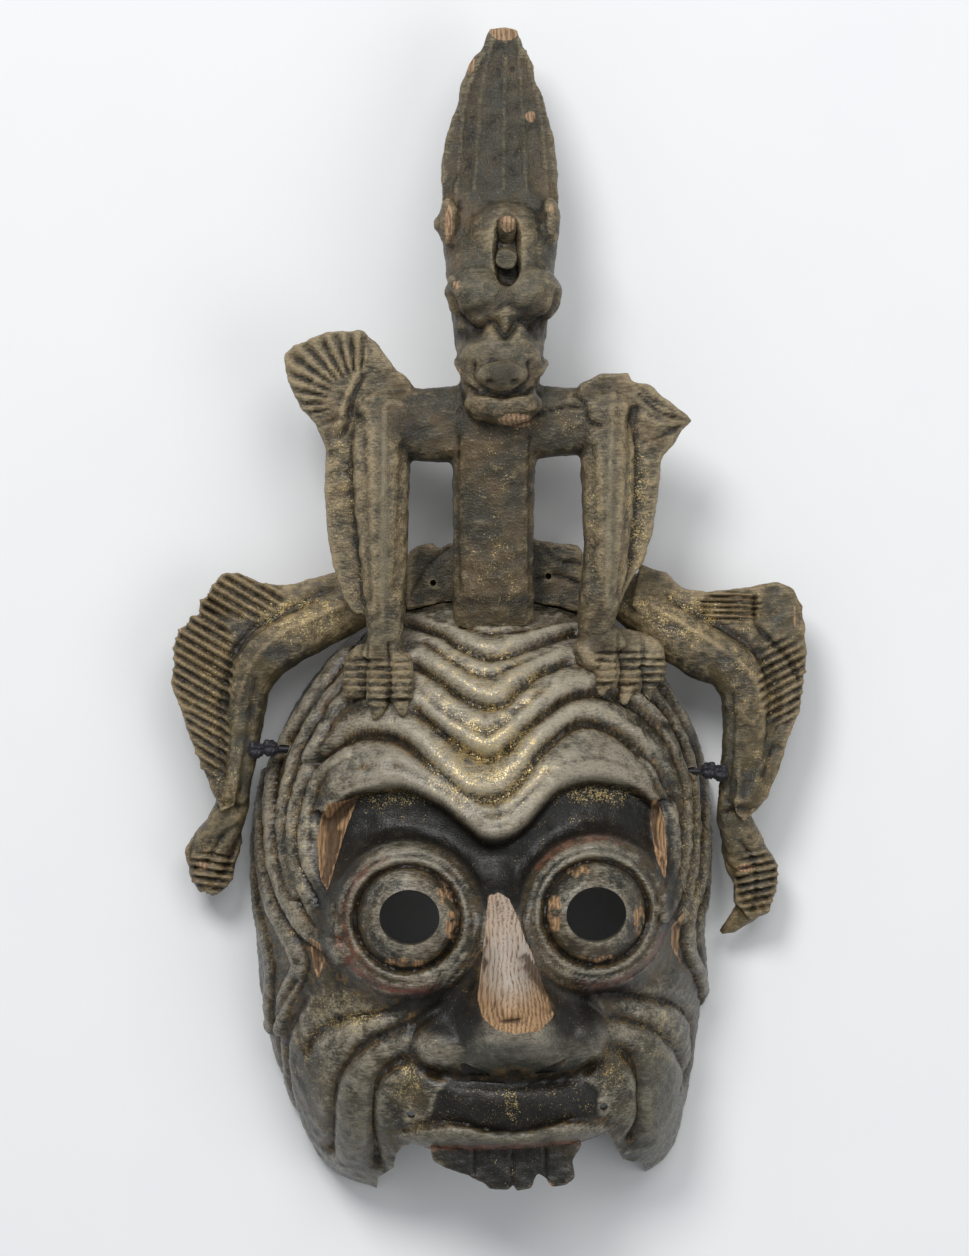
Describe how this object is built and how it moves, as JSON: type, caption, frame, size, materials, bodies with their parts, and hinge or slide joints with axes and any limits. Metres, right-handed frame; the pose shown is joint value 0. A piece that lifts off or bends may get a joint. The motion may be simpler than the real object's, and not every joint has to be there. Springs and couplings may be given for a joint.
{
  "type": "dance mask",
  "caption": "Carved wooden dance mask with ringed eyes, furrowed forehead and open jaw gap, with a crouching dragon on its crown whose hind legs are tied to the mask's sides.",
  "frame": {"origin": "centre of the bounding box's base, on the plane that the mask's rim lies on", "axes": "+Z out of the face, +Y up the forehead to the dragon's crest, +X to the right of someone who looks at the face"},
  "size_m": [0.2422, 0.4442, 0.0986],
  "materials": {
    "lacquered_wood": "worn dark lacquer over carved wood, with traces of gold leaf on the crests",
    "tie_cord": "dark twisted cord, matt"
  },
  "bodies": {
    "root": {"mask": "lacquered_wood", "dragon": "lacquered_wood", "hind_leg_left": "lacquered_wood", "hind_leg_right": "lacquered_wood", "cord_tie_left": "tie_cord", "cord_tie_right": "tie_cord"}
  },
  "joints": []
}
